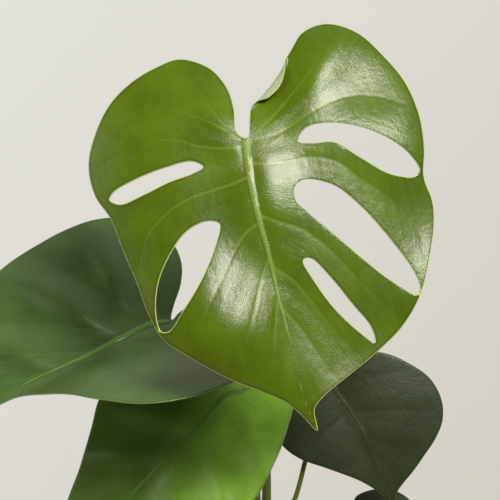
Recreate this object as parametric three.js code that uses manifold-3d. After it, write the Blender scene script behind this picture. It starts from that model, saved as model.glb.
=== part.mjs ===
// A young monstera in a plain stoneware pot.
// Millimetres, +Z up. The origin is the centre of the pot's base, and the plant faces -Y.

import * as THREE from 'three';
import { mergeVertices } from 'three/addons/utils/BufferGeometryUtils.js';
import Module from 'manifold-3d';

const wasm = await Module();
wasm.setup();

// ---------------------------------------------------------------- driving dimensions

const GAP = 0.3;              // clearance between pieces that touch

const POT = {
  height: 145,
  footRadius: 55,             // outer edge of the ring that the pot stands on
  lipRadius: 82,              // outside, just under the lip
  wall: 5,
  floorTop: 9.5,              // inside floor, above the table
  padRadius: 27,              // middle pad under the pot
  ringInner: 43,              // inner edge of the foot ring
  recess: 2.5,                // height of the drain channel between pad and ring
  drainHoles: 3,
  drainRadius: 5,
  drainCircle: 35,
  notchWidth: 12,
  lip: 6,                     // height of the upright band at the top
  edge: 2,                    // rounding at the foot and the lip
  coveWidth: 4,               // rounding inside, where the wall meets the floor
  coveHeight: 6,
  segments: 40,
};

// edge, slope and crown are heights of the surface: at the wall, on the way and at the stem.
// slopeAt and crownAt are parts of the pot's inner radius.
const SOIL = { edge: 128, slope: 129.5, slopeAt: 0.6, crown: 132, crownAt: 0.3 };

const STEM = {
  bottom: 70,
  top: 162,
  lowRadius: 11,
  neckRadius: 10,
  topRadius: 8.5,
  collar: 138,                // height up to which the foot keeps its full radius
  neck: 144,
  rounding: 3,                // of the stem's tip
  sides: 14,
};

const BLADE = { thickness: 1.2, cell: 15 };

// A stalk swells over the first third of its length and over the last sixth.
const PETIOLE = {
  sides: 8,
  step: 17,
  baseSwell: 1.45,
  baseReach: 1 / 3,
  tipSwell: 1.12,
  tipReach: 1 / 6,
};

const COLOURS = {
  pot: '#d9d4c8',
  soil: '#3a2b20',
  stem: '#5d6a2c',
  petiole: '#5f7024',
  youngLeaf: '#5f8a1a',
  oldLeaf: '#40602c',
  darkLeaf: '#323d1c',
};

const ROUGHNESS = { pot: 0.6, soil: 0.95, stem: 0.6, petiole: 0.45, leaf: 0.35 };

// Each blade has its own frame: the origin where the stalk meets it, +Y along the midrib
// to the tip, +Z out of its upper face. Points of an outline are [x, y] in that frame.
// shape: fold lifts both halves from the midrib, soft rounds that fold, side and arch let
// the margins and the tip droop, back lets the lobes beside the notch droop, twist turns it.

const LEAVES = [
  {
    name: 'leaf_1',
    colour: COLOURS.youngLeaf,
    junction: [-7, -78, 466.4],
    tip: [0.226, -0.342, -0.912],
    face: [0.06, -1, 0.36],
    shape: { fold: 0.22, soft: 6, side: 0.003, arch: 0.0009, back: 0.0022, twist: 0 },
    outline: [
      [0, -3], [5, -8], [3, -25], [4, -42], [12, -59], [30, -70], [47, -67], [65, -60], [82, -48],
      [96, -29], [104, -10], [104, 11], [97, 30], [94, 50], [89, 75], [86, 95], [80, 113], [68, 126],
      [44, 147], [27, 158], [12, 168], [4, 177], [-4, 188], [-5, 175], [-12, 169], [-32, 160],
      [-53, 150], [-72, 138], [-88, 121], [-102, 95], [-110, 76], [-113, 60], [-111, 43], [-116, 24],
      [-119, 0], [-116, -25], [-107, -45], [-93, -66], [-74, -76], [-56, -72], [-42, -57], [-30, -41],
      [-12, -25], [-5, -14], [-2, -4],
    ],
    slits: [
      [[32, 11], [38, 6], [55, 6], [78, 9], [92, 13], [95, 17], [89, 22], [73, 20], [55, 16], [40, 14]],
      [[30, 50], [38, 47], [52, 51], [66, 64], [76, 79], [81, 97], [80, 108], [75, 109], [65, 100],
        [48, 82], [34, 61]],
      [[-33, 7], [-40, -1], [-55, -2], [-75, 4], [-92, 14], [-104, 26], [-109, 38], [-104, 42],
        [-87, 38], [-72, 26], [-56, 12], [-42, 10]],
      [[-22, 45], [-23, 37], [-30, 33], [-48, 40], [-63, 57], [-79, 84], [-88, 103], [-90, 114],
        [-87, 119], [-71, 107], [-59, 94], [-40, 70], [-27, 53]],
      [[-18, 84], [-23, 84], [-32, 97], [-43, 118], [-52, 135], [-52, 144], [-43, 135], [-31, 118],
        [-22, 98]],
    ],
  },
  {
    name: 'leaf_2',
    colour: COLOURS.oldLeaf,
    junction: [-64.3, 2, 334.4],
    tip: [-0.836, -0.494, -0.238],
    face: [0.055, -0.507, 0.86],
    shape: { fold: 0.5, soft: 8, side: 0.002, arch: 0.001, back: 0.002, twist: -0.001 },
    outline: [
      [0, -3], [4, -5], [12, -12], [26, -26], [42, -36], [60, -39], [80, -32], [96, -17], [105, 2],
      [108, 25], [107, 47], [103, 77], [93, 104], [76, 128], [52, 149], [26, 166], [6, 178], [-1, 162],
      [-1, 141], [-5, 121], [-24, 108], [-43, 98], [-66, 89], [-88, 74], [-101, 49], [-103, 18],
      [-97, -8], [-82, -28], [-60, -38], [-36, -42], [-12, -40], [3, -33], [7, -22], [5, -12], [1, -5],
    ],
    slits: [],
  },
  {
    name: 'leaf_3',
    colour: COLOURS.oldLeaf,
    junction: [-10, -2, 284],
    tip: [-0.674, -0.358, -0.646],
    face: [-0.15, -0.82, 0.55],
    shape: { fold: 0.32, soft: 8, side: 0.0025, arch: 0.001, back: 0.002, twist: 0 },
    outline: [
      [0, -3], [1, -9], [3, -20], [14, -31], [32, -33], [48, -29], [62, -18], [75, 2], [81, 28], [81, 52],
      [77, 72], [66, 92], [54, 116], [45, 140], [34, 160], [20, 178], [8, 190], [-8, 178], [-26, 158],
      [-43, 130], [-55, 100], [-62, 72], [-63, 52], [-58, 32], [-52, 14], [-45, -1], [-38, -14],
      [-27, -28], [-12, -30], [-3, -20], [-1, -9],
    ],
    slits: [],
  },
  {
    name: 'leaf_4',
    colour: COLOURS.darkLeaf,
    junction: [57, 28, 284],
    tip: [0.437, -0.231, -0.87],
    face: [0, -0.95, 0.3],
    shape: { fold: 0.15, soft: 6, side: 0.002, arch: 0.001, back: 0.002, twist: 0 },
    outline: [
      [0, -4], [3, -10], [14, -17], [29, -18], [43, -11], [52, 2], [55, 16], [53, 27], [46, 39],
      [31, 54], [13, 73], [5, 85], [2, 92], [-1, 101], [-8, 92], [-15, 88], [-26, 83], [-37, 77],
      [-51, 69], [-62, 59], [-68, 45], [-67, 27], [-56, 8], [-45, -4], [-35, -10], [-22, -14],
      [-9, -12], [-3, -8],
    ],
    slits: [],
  },
  {
    name: 'leaf_5',
    colour: COLOURS.darkLeaf,
    junction: [79, 48, 178],
    tip: [0.75, -0.45, -0.48],
    face: [0.15, -0.6, 0.75],
    shape: { fold: 0.18, soft: 5, side: 0.003, arch: 0.002, back: 0.002, twist: 0 },
    outline: [
      [0, -3], [3, -9], [12, -17], [25, -18], [36, -9], [42, 6], [41, 24], [33, 44], [21, 63],
      [9, 80], [1, 92], [-7, 79], [-19, 63], [-31, 46], [-39, 26], [-39, 10], [-32, -1], [-23, -8],
      [-11, -12], [-3, -8],
    ],
    slits: [],
  },
];

// A stalk's route starts inside the stem and ends just through its blade.

const PETIOLES = [
  {
    name: 'petiole_1',
    leaf: 'leaf_1',
    radius: 2.9,
    route: [
      [1, 1, 150], [5, 2, 176], [7, 1, 204], [7, 6, 240], [6, 16, 285], [3, 14, 335],
      [-1, -8, 390], [-5, -42, 440], [-7, -66, 461], [-7, -82, 466.4],
    ],
  },
  {
    name: 'petiole_2',
    leaf: 'leaf_2',
    radius: 2.6,
    route: [
      [-2, 2, 141], [-10, 5, 164], [-20, 14, 204], [-36, 32, 255], [-54, 46, 300],
      [-64, 38, 325], [-66, 18, 333], [-64.3, 2, 334.4], [-64.1, -3, 335.5],
    ],
  },
  {
    name: 'petiole_3',
    leaf: 'leaf_3',
    radius: 2.4,
    route: [
      [-1, -3, 146], [0, -9, 172], [0.5, -7, 204], [-2, 4, 244], [-7, 12, 268],
      [-10, 7, 280], [-10, -4, 285.5],
    ],
  },
  {
    name: 'petiole_4',
    leaf: 'leaf_4',
    radius: 1.9,
    route: [
      [3, 3, 140], [14, 12, 168], [29, 21, 200], [38, 28, 232], [48, 38, 262],
      [56, 40, 279], [57, 28, 284], [57, 24, 285],
    ],
  },
  {
    name: 'petiole_5',
    leaf: 'leaf_5',
    radius: 1.8,
    route: [
      [4, -2, 139], [20, 8, 145], [40, 27, 152], [60, 48, 161], [74, 56, 171],
      [79, 50, 176.5], [79, 46, 181],
    ],
  },
];

// ---------------------------------------------------------------- solids

function solidOf(geometry) {
  const bare = geometry.clone();
  bare.deleteAttribute('normal');
  bare.deleteAttribute('uv');
  const merged = mergeVertices(bare, 1e-4);
  return new wasm.Manifold(new wasm.Mesh({
    numProp: 3,
    vertProperties: new Float32Array(merged.attributes.position.array),
    triVerts: new Uint32Array(merged.index.array),
  }));
}

function geometryOf(solid) {
  const mesh = solid.getMesh();
  const geometry = new THREE.BufferGeometry();
  geometry.setAttribute('position', new THREE.BufferAttribute(mesh.vertProperties, 3));
  geometry.setIndex(new THREE.BufferAttribute(mesh.triVerts, 1));
  geometry.computeVertexNormals();
  return geometry;
}

function piece(name, geometry, colour, roughness) {
  const material = new THREE.MeshStandardMaterial({ color: colour, roughness, metalness: 0 });
  const mesh = new THREE.Mesh(geometry, material);
  mesh.name = name;
  return mesh;
}

function turned(profile, segments) {
  const points = profile.map(([radius, height]) => new THREE.Vector2(radius, height));
  return new THREE.LatheGeometry(points, segments).rotateX(Math.PI / 2);
}

// ---------------------------------------------------------------- pot and soil

const innerLip = POT.lipRadius - POT.wall;
const innerFoot = POT.footRadius - POT.wall + POT.edge;

function innerRadius(height) {
  const t = (height - POT.floorTop) / (POT.height - POT.floorTop);
  return THREE.MathUtils.lerp(innerFoot, innerLip, t);
}

function makePot() {
  const { height, footRadius, lipRadius, floorTop, padRadius, ringInner, recess, edge } = POT;
  const cove = floorTop + POT.coveHeight;
  const body = solidOf(turned([
    [0, 0], [padRadius, 0], [padRadius + edge, recess], [ringInner - edge, recess],
    [ringInner, 0], [footRadius, 0], [footRadius + edge, edge], [lipRadius, height - POT.lip],
    [lipRadius, height - edge], [lipRadius - 0.75 * edge, height], [innerLip + 0.5 * edge, height],
    [innerLip, height - edge], [innerRadius(cove), cove], [innerFoot - POT.coveWidth, floorTop],
    [0, floorTop],
  ], POT.segments));
  return geometryOf(body.subtract(drainCuts()));
}

function drainCuts() {
  const cuts = [];
  for (let i = 0; i < POT.drainHoles; i += 1) {
    const angle = (i / POT.drainHoles) * 2 * Math.PI + Math.PI / 2;
    const hole = new THREE.CylinderGeometry(POT.drainRadius, POT.drainRadius, 4 * POT.floorTop, 16)
      .rotateX(Math.PI / 2)
      .translate(POT.drainCircle, 0, 0)
      .rotateZ(angle);
    const notchLength = POT.footRadius - POT.ringInner + 4 * POT.edge;
    const notch = new THREE.BoxGeometry(notchLength, POT.notchWidth, 2 * POT.recess)
      .translate((POT.footRadius + POT.ringInner) / 2, 0, 0)
      .rotateZ(angle);
    cuts.push(solidOf(hole), solidOf(notch));
  }
  return cuts.reduce((all, cut) => all.add(cut));
}

function makeSoil() {
  const bottom = POT.floorTop + GAP;
  const cove = bottom + POT.coveHeight;
  const wall = innerRadius(SOIL.edge);
  const body = solidOf(turned([
    [0, bottom], [innerFoot - POT.coveWidth - GAP, bottom], [innerRadius(cove) - 2 * GAP, cove],
    [wall - 2 * GAP, SOIL.edge], [SOIL.slopeAt * wall, SOIL.slope],
    [SOIL.crownAt * wall, SOIL.crown], [0, SOIL.crown],
  ], POT.segments));
  return geometryOf(body.subtract(stemSolid(GAP)));
}

// ---------------------------------------------------------------- stem and stalks

function stemSolid(clearance) {
  const { bottom, top, rounding } = STEM;
  return solidOf(turned([
    [0, bottom - clearance], [STEM.lowRadius + clearance, bottom - clearance],
    [STEM.lowRadius + clearance, STEM.collar], [STEM.neckRadius + clearance, STEM.neck],
    [STEM.topRadius + clearance, top - rounding],
    [STEM.topRadius - rounding + clearance, top + clearance], [0, top + clearance],
  ], STEM.sides));
}

// The blade's own frame as a turn and a place.
function bladeFrame({ junction, tip, face }) {
  const along = new THREE.Vector3(...tip).normalize();
  const across = new THREE.Vector3().crossVectors(along, new THREE.Vector3(...face)).normalize();
  const out = new THREE.Vector3().crossVectors(across, along);
  return new THREE.Matrix4().makeBasis(across, along, out).setPosition(...junction);
}

// Swells a stalk at its foot, where it clasps the stem, and a little at its top.
function swell(geometry, centres) {
  const position = geometry.attributes.position;
  const vertex = new THREE.Vector3();
  for (let i = 0; i < position.count; i += 1) {
    vertex.fromBufferAttribute(position, i);
    const distances = centres.map((centre) => centre.distanceTo(vertex));
    const nearest = distances.indexOf(Math.min(...distances));
    const t = nearest / (centres.length - 1);
    const foot = (PETIOLE.baseSwell - 1) * Math.max(0, 1 - t / PETIOLE.baseReach);
    const head = (PETIOLE.tipSwell - 1) * Math.max(0, 1 - (1 - t) / PETIOLE.tipReach);
    vertex.sub(centres[nearest]).multiplyScalar(1 + foot + head).add(centres[nearest]);
    position.setXYZ(i, vertex.x, vertex.y, vertex.z);
  }
}

function makePetiole({ leaf, radius, route }) {
  const places = route.map((place) => new THREE.Vector3(...place));
  const path = new THREE.CatmullRomCurve3(places, false, 'centripetal');
  const steps = Math.round(path.getLength() / PETIOLE.step);
  const section = new THREE.Shape();
  for (let i = 0; i < PETIOLE.sides; i += 1) {
    const angle = ((i + 0.5) / PETIOLE.sides) * 2 * Math.PI;
    const point = [radius * Math.cos(angle), radius * Math.sin(angle)];
    if (i === 0) {
      section.moveTo(...point);
    } else {
      section.lineTo(...point);
    }
  }
  const tube = new THREE.ExtrudeGeometry(section, { steps, extrudePath: path, bevelEnabled: false });
  swell(tube, path.getSpacedPoints(steps));

  // The stalk ends behind its blade; slack is for the blade's relief across the stalk.
  const reach = 60;
  const slack = 0.2;
  const blade = LEAVES.find(({ name }) => name === leaf);
  const front = new THREE.BoxGeometry(reach, reach, reach)
    .translate(0, 0, reach / 2 - BLADE.thickness / 2 - GAP - slack)
    .applyMatrix4(bladeFrame(blade));
  return geometryOf(solidOf(tube).subtract(stemSolid(GAP)).subtract(solidOf(front)));
}

// ---------------------------------------------------------------- blades

function closedShape(points, divisions) {
  const loop = points.map(([x, y]) => new THREE.Vector3(x, y, 0));
  const curve = new THREE.CatmullRomCurve3(loop, true, 'centripetal');
  return new THREE.Shape(curve.getPoints(divisions).slice(0, -1));
}

function prism(points, divisions) {
  const depth = 200;
  const shape = closedShape(points, divisions);
  const block = new THREE.ExtrudeGeometry(shape, { depth, bevelEnabled: false, steps: 1 });
  return solidOf(block.translate(0, 0, -depth / 2));
}

function relief({ fold, soft, side, arch, back, twist }, x, y) {
  const valley = fold * (Math.hypot(x, soft) - soft);
  const droop = (y > 0 ? arch : back) * y * y;
  return valley - side * x * x - droop + twist * x * y;
}

// A thin plate, bent to the blade's relief, from which the outline is then cut.
function bentPlate(outline, shape) {
  const box = new THREE.Box2().setFromPoints(outline.map(([x, y]) => new THREE.Vector2(x, y)));
  const halfWidth = Math.max(-box.min.x, box.max.x) + BLADE.cell;
  const length = box.max.y - box.min.y + 2 * BLADE.cell;
  const columns = 2 * Math.ceil(halfWidth / BLADE.cell);
  const rows = Math.ceil(length / BLADE.cell);
  const plate = new THREE.BoxGeometry(2 * halfWidth, length, BLADE.thickness, columns, rows, 1)
    .translate(0, (box.min.y + box.max.y) / 2, 0);
  const position = plate.attributes.position;
  for (let i = 0; i < position.count; i += 1) {
    const lift = relief(shape, position.getX(i), position.getY(i));
    position.setZ(i, position.getZ(i) + lift);
  }
  return solidOf(plate);
}

function makeBlade({ outline, slits, shape }) {
  const rim = prism(outline, 2 * outline.length);
  const openings = slits.map((slit) => prism(slit, 2 * slit.length));
  const cutter = openings.reduce((rest, opening) => rest.subtract(opening), rim);
  return geometryOf(bentPlate(outline, shape).intersect(cutter));
}

// ---------------------------------------------------------------- the plant

const plant = new THREE.Group();
plant.add(piece('pot', makePot(), COLOURS.pot, ROUGHNESS.pot));
plant.add(piece('potting_soil', makeSoil(), COLOURS.soil, ROUGHNESS.soil));
plant.add(piece('main_stem', geometryOf(stemSolid(0)), COLOURS.stem, ROUGHNESS.stem));

for (const spec of PETIOLES) {
  plant.add(piece(spec.name, makePetiole(spec), COLOURS.petiole, ROUGHNESS.petiole));
}

for (const spec of LEAVES) {
  const blade = piece(spec.name, makeBlade(spec), spec.colour, ROUGHNESS.leaf);
  const frame = bladeFrame(spec);
  blade.setRotationFromMatrix(frame);
  blade.position.setFromMatrixPosition(frame);
  plant.add(blade);
}

export default plant;
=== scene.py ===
"""Looks for a potted monstera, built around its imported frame: leaves to stem, soil and pot."""

import math
import random

import bmesh
import bpy
import numpy as np
from bpy.props import FloatProperty, FloatVectorProperty, IntProperty, PointerProperty
from mathutils import Matrix, Vector, noise
from mathutils.kdtree import KDTree


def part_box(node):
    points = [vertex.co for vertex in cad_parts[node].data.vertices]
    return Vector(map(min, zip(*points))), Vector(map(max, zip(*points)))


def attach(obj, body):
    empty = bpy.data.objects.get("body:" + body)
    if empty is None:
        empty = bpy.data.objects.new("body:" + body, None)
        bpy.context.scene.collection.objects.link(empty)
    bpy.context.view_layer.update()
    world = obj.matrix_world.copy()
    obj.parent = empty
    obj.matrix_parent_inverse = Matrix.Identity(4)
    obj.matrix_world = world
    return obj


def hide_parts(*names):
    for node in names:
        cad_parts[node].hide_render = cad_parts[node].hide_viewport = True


bl_info = {
    "name": "Potted monstera",
    "version": (1, 0, 0),
    "blender": (4, 5, 0),
    "location": "View3D > Sidebar > Monstera",
    "description": "Builds the leaves, stalks, stem, soil and pot of a young monstera",
    "category": "Object",
}

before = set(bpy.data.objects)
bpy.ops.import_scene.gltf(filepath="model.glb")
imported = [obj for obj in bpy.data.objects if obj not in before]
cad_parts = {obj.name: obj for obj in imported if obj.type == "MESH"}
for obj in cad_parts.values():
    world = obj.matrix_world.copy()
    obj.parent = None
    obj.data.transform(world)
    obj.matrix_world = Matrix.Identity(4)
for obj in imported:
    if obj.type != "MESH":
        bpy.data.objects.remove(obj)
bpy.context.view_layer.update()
BODY = "root"
MM = 0.001


def linear(colour):
    """A linear RGBA colour from an sRGB hex value."""
    parts = [int(colour[i : i + 2], 16) / 255 for i in (0, 2, 4)]
    return [c / 12.92 if c <= 0.04045 else ((c + 0.055) / 1.055) ** 2.4 for c in parts] + [1.0]


# ---------------------------------------------------------------- leaves, in millimetres
# Each blade lies in its own frame: the origin where the stalk meets it, +Y along the midrib
# to the tip and +Z out of its upper face. Its outline, slits, midrib and side veins are points
# [x, y] there. swells are rises of the sheet: x, y, length, width, turn in degrees, height.

LEAVES = {
    "leaf_1": {
        "junction": (-7, -78, 466.4),
        "tip": (0.226, -0.342, -0.912),
        "face": (0.06, -1, 0.36),
        "finish": "young_leaf",
        "shape": {"fold": 0.22, "soft": 6, "side": 0.003, "arch": 0.0009, "back": 0.0022},
        "outline": [
            (0, -3), (5, -8), (3, -25), (4, -42), (12, -59), (30, -70), (47, -67), (65, -60),
            (82, -48), (96, -29), (104, -10), (104, 11), (97, 30), (94, 50), (89, 75), (86, 95),
            (80, 113), (68, 126), (44, 147), (27, 158), (12, 168), (4, 177), (-4, 188), (-5, 175),
            (-12, 169), (-32, 160), (-53, 150), (-72, 138), (-88, 121), (-102, 95), (-110, 76),
            (-113, 60), (-111, 43), (-116, 24), (-119, 0), (-116, -25), (-107, -45), (-93, -66),
            (-74, -76), (-56, -72), (-42, -57), (-34, -51), (-19, -42), (-9, -27), (-5, -14),
            (-2, -4),
        ],
        "slits": [
            [(32, 11), (38, 6), (55, 6), (78, 9), (92, 13), (95, 17), (89, 22), (73, 20), (55, 16),
             (40, 14)],
            [(30, 50), (38, 47), (52, 51), (66, 64), (76, 79), (81, 97), (80, 108), (75, 109),
             (65, 100), (48, 82), (34, 61)],
            [(-33, 7), (-40, -1), (-55, -2), (-75, 4), (-92, 14), (-104, 26), (-109, 38),
             (-104, 42), (-87, 38), (-72, 26), (-56, 12), (-42, 10)],
            [(-22, 45), (-23, 37), (-30, 33), (-48, 40), (-63, 57), (-79, 84), (-88, 103),
             (-90, 114), (-87, 119), (-71, 107), (-59, 94), (-40, 70), (-27, 53)],
            [(-18, 84), (-23, 84), (-32, 97), (-43, 118), (-52, 135), (-52, 144), (-43, 135),
             (-31, 118), (-22, 98)],
        ],
        "midrib": [(1, -1), (3, 21), (4, 38), (4, 51), (3, 71), (2.6, 87), (2.5, 107), (1.5, 125),
                   (1, 142), (1, 156), (-1, 174), (-4, 187)],
        "left": [
            [(2, -4), (12, -15), (20, -34), (26, -54)],
            [(2, -2), (12, -11), (23, -20), (38, -30), (58, -42)],
            [(1, 3), (17, 1), (31, -3), (43, -10), (55, -13), (69, -13), (84, -11), (98, -6)],
            [(3, 23), (16, 26), (31, 28), (45, 30), (63, 37), (75, 46), (84, 62), (88, 78),
             (86, 92)],
            [(4, 54), (14, 59), (23, 68), (32, 80), (45, 97), (58, 114), (68, 124)],
            [(3, 78), (10, 88), (18, 104), (28, 124), (40, 145)],
            [(3, 104), (8, 118), (14, 138), (20, 158)],
        ],
        "right": [
            [(-2, -2), (-17, -11), (-35, -25), (-51, -39), (-65, -56), (-70, -68)],
            [(-4, -1), (-21, -1), (-41, -9), (-60, -16), (-75, -18), (-92, -16), (-112, -8)],
            [(-1, 15), (-13, 18), (-24, 19), (-37, 19), (-54, 25), (-67, 39), (-81, 52), (-94, 70),
             (-102, 90)],
            [(2, 50), (-9, 57), (-21, 64), (-27, 70), (-36, 81), (-47, 98), (-59, 116), (-72, 134)],
            [(2.5, 84), (-8, 94), (-16, 108), (-26, 128), (-38, 148), (-44, 153)],
            [(2, 112), (-6, 124), (-14, 142), (-22, 162)],
        ],
        "swells": [
            (-3, 38, 46, 20, 90, 7), (-20, -44, 24, 24, 0, -7), (-57, -38, 30, 15, 52, 3),
            (-95, -72, 50, 38, 0, 9), (-128, 0, 55, 32, 90, 12), (-85, 15, 36, 26, 155, 6),
            (62, 111, 50, 42, 121, 10), (30, 125, 30, 32, 0, 6), (-30, 205, 60, 38, 0, 18),
            (0, 160, 30, 24, 90, 6), (-110, 125, 30, 34, 0, 10), (-125, 75, 40, 18, 90, 6),
            (10, -22, 30, 18, 90, 4),
        ],
        "roll": {
            "fold": [(-44, -60), (-38, -50), (-30, -41), (-20, -32), (-12, -25), (-8, -18)],
            "radius": 2.5,
            "reach": 9,
        },
    },
    "leaf_2": {
        "junction": (-64.3, 2, 334.4),
        "tip": (-0.836, -0.494, -0.238),
        "face": (0.055, -0.507, 0.86),
        "finish": "old_leaf",
        "shape": {"fold": 0.5, "soft": 8, "side": 0.002, "arch": 0.001, "back": 0.002,
                  "twist": -0.001},
        "outline": [
            (0, -3), (4, -5), (12, -12), (26, -26), (42, -36), (60, -39), (80, -32), (96, -17),
            (105, 2), (108, 25), (107, 47), (103, 77), (93, 104), (76, 128), (52, 149), (26, 166),
            (6, 178), (-1, 162), (-1, 141), (-5, 121), (-24, 108), (-43, 98), (-66, 89), (-88, 74),
            (-101, 49), (-103, 18), (-97, -8), (-82, -28), (-60, -38), (-36, -42), (-12, -40),
            (3, -33), (7, -22), (5, -12), (1, -5),
        ],
        "midrib": [(1, 0), (4, 11), (3, 36), (1, 61), (3, 96), (5, 129), (4, 150), (5, 174)],
        "left": [
            [(2, -2), (14, -8), (34, -20), (60, -28)],
            [(4, 2), (22, 4), (52, 0), (92, -4)],
            [(4, 12), (31, 28), (59, 43), (98, 58)],
            [(3, 35), (20, 56), (36, 78), (55, 105), (66, 128)],
            [(2, 62), (14, 84), (27, 112), (40, 148)],
            [(4, 100), (12, 122), (20, 148), (24, 162)],
        ],
        "right": [
            [(0, -2), (-12, -14), (-34, -28), (-50, -34)],
            [(2, 4), (-24, 0), (-58, -4), (-92, -6)],
            [(3, 18), (-30, 24), (-62, 32), (-96, 44)],
            [(2, 38), (-36, 48), (-62, 64), (-80, 76)],
            [(1, 62), (-22, 76), (-44, 96)],
            [(2, 88), (-10, 104), (-20, 110)],
        ],
        "swells": [
            (50, 60, 45, 12, 25, 4), (62, 15, 45, 12, -10, 4), (30, 105, 40, 12, 40, 4),
            (-50, 45, 40, 14, 155, 4), (-35, 80, 30, 12, 145, 4),
        ],
    },
    "leaf_3": {
        "junction": (-10, -2, 284),
        "tip": (-0.674, -0.358, -0.646),
        "face": (-0.15, -0.82, 0.55),
        "finish": "middle_leaf",
        "shape": {"fold": 0.32, "soft": 8, "side": 0.0025, "arch": 0.001, "back": 0.002},
        "outline": [
            (0, -3), (1, -9), (3, -20), (14, -31), (32, -33), (48, -29), (62, -18), (75, 2),
            (81, 28), (81, 52), (77, 72), (66, 92), (54, 116), (45, 140), (34, 160), (20, 178),
            (8, 190), (-8, 178), (-26, 158), (-43, 130), (-55, 100), (-62, 72), (-63, 52),
            (-58, 32), (-52, 14), (-45, -1), (-38, -14), (-27, -28), (-12, -30), (-3, -20),
            (-1, -9),
        ],
        "midrib": [(1, 0), (7, 8), (7, 32), (7, 58), (10, 84), (12, 109), (11, 150), (8, 188)],
        "left": [
            [(2, -2), (14, -12), (34, -24)],
            [(6, 6), (28, 6), (54, 4), (74, 8)],
            [(7, 22), (30, 30), (54, 42), (76, 60)],
            [(7, 48), (26, 62), (46, 84), (60, 102)],
            [(9, 76), (22, 92), (36, 116), (46, 136)],
            [(12, 106), (20, 124), (30, 152)],
        ],
        "right": [
            [(0, -2), (-10, -12), (-24, -22)],
            [(4, 4), (-16, 4), (-38, 0)],
            [(7, 16), (-18, 24), (-42, 34), (-58, 46)],
            [(7, 40), (-12, 52), (-36, 70), (-56, 92)],
            [(9, 70), (-6, 84), (-24, 106), (-42, 128)],
            [(12, 102), (0, 120), (-14, 146), (-24, 158)],
        ],
        "swells": [
            (45, 20, 35, 10, 8, 4), (42, 55, 35, 10, 25, 4), (35, 90, 30, 10, 40, 4),
            (-32, 25, 30, 9, 150, 4), (-32, 60, 30, 9, 145, 4), (-20, 95, 30, 10, 135, 4),
        ],
    },
    "leaf_4": {
        "junction": (57, 28, 284),
        "tip": (0.437, -0.231, -0.87),
        "face": (0, -0.95, 0.3),
        "finish": "shaded_leaf",
        "rib": 0.5,
        "shape": {"fold": 0.15, "soft": 6, "side": 0.002, "arch": 0.001, "back": 0.002},
        "outline": [
            (0, -4), (3, -10), (14, -17), (29, -18), (43, -11), (52, 2), (55, 16), (53, 27),
            (46, 39), (31, 54), (13, 73), (5, 85), (2, 92), (-1, 101), (-8, 92), (-15, 88),
            (-26, 83), (-37, 77), (-51, 69), (-62, 59), (-68, 45), (-67, 27), (-56, 8), (-45, -4),
            (-35, -10), (-22, -14), (-9, -12), (-3, -8),
        ],
        "midrib": [(0, -2), (0, 3), (-4, 29), (-5, 53), (-4, 73), (-2, 86), (-1, 100)],
        "left": [
            [(1, -3), (12, -10), (28, -14)],
            [(0, 4), (22, 2), (50, 6)],
            [(-3, 22), (16, 28), (42, 36)],
            [(-5, 46), (6, 56), (20, 64)],
        ],
        "right": [
            [(-1, -3), (-16, -8), (-34, -8)],
            [(-1, 6), (-28, 8), (-60, 16)],
            [(-4, 26), (-30, 36), (-62, 52)],
            [(-5, 48), (-22, 62), (-38, 74)],
            [(-4, 66), (-14, 80), (-20, 84)],
        ],
    },
    "leaf_5": {
        "junction": (79, 48, 178),
        "tip": (0.75, -0.45, -0.48),
        "face": (0.15, -0.6, 0.75),
        "finish": "shaded_leaf",
        "rib": 0.5,
        "shape": {"fold": 0.18, "soft": 5, "side": 0.003, "arch": 0.002, "back": 0.002},
        "outline": [
            (0, -3), (3, -9), (12, -17), (25, -18), (36, -9), (42, 6), (41, 24), (33, 44), (21, 63),
            (9, 80), (1, 92), (-7, 79), (-19, 63), (-31, 46), (-39, 26), (-39, 10), (-32, -1),
            (-23, -8), (-11, -12), (-3, -8),
        ],
        "midrib": [(0, -1), (0, 30), (0, 60), (1, 91)],
        "left": [
            [(1, -2), (14, -10), (26, -14)],
            [(0, 6), (20, 8), (40, 12)],
            [(0, 24), (16, 32), (34, 40)],
            [(0, 44), (10, 56), (18, 66)],
        ],
    },
}

# rim is the pale line painted along a blade's edge as rim light, where light glows through it
GROWN_TONES = {
    "vein": "5d7a48", "rib": "64903a", "rim": "7f9a5a", "under": "6f8358", "margin": "8aa366",
    "roughness": 0.28}
LEAF_TONES = {
    "young_leaf": {
        "vein": "8fa64c", "rib": "7f9840", "rim": "b9cc74", "under": "a9b88a", "margin": "dde8a2",
        "roughness": 0.21},
    "old_leaf": GROWN_TONES,
    "middle_leaf": GROWN_TONES,
    # the shaded leaves' tones are darkened as painted shade, for the shade the back leaves sit in
    "shaded_leaf": {
        "vein": "3a4722", "rib": "47522a", "rim": "56663a", "under": "58663f", "margin": "5c6b3f",
        "roughness": 0.38},
}

# depth and width of the hollow along a vein and of the crease in it, in millimetres
VEIN_HOLLOW, VEIN_CREASE = (0.3, 6), (0.2, 1)
# height, width in half widths of the midrib, power of the profile, and room needed at the rim
RIB_DIP, RIB_RIDGE = (-0.5, 2.4, 2, 5), (1.0, 0.75, 4, 4)
BLADE_CELL, LARGE_BLADE_CELL = 1.5, 1.1

SOIL_RADIUS, SOIL_BOTTOM, SOIL_EDGE, SOIL_CROWN = 73.3, 100, 128, 4
STEM_PROFILE = ((70, 11), (138, 11), (144, 10), (159, 8.5), (162, 5.5))  # height, radius
DRAIN_CIRCLE, DRAIN_RADIUS = 35, 5
POT_PROFILE = (
    (0, 0), (27, 0), (29, 2.5), (41, 2.5), (43, 0), (55, 0), (57, 2), (82, 139), (82, 143),
    (80.5, 145), (78, 145), (77, 143), (54.2, 15.5), (48, 9.5), (0, 9.5))  # radius, height

# the side veins of the smallest leaf are the same on both halves
LEAVES["leaf_5"]["right"] = [[(-x, y) for x, y in vein] for vein in LEAVES["leaf_5"]["left"]]

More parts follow.
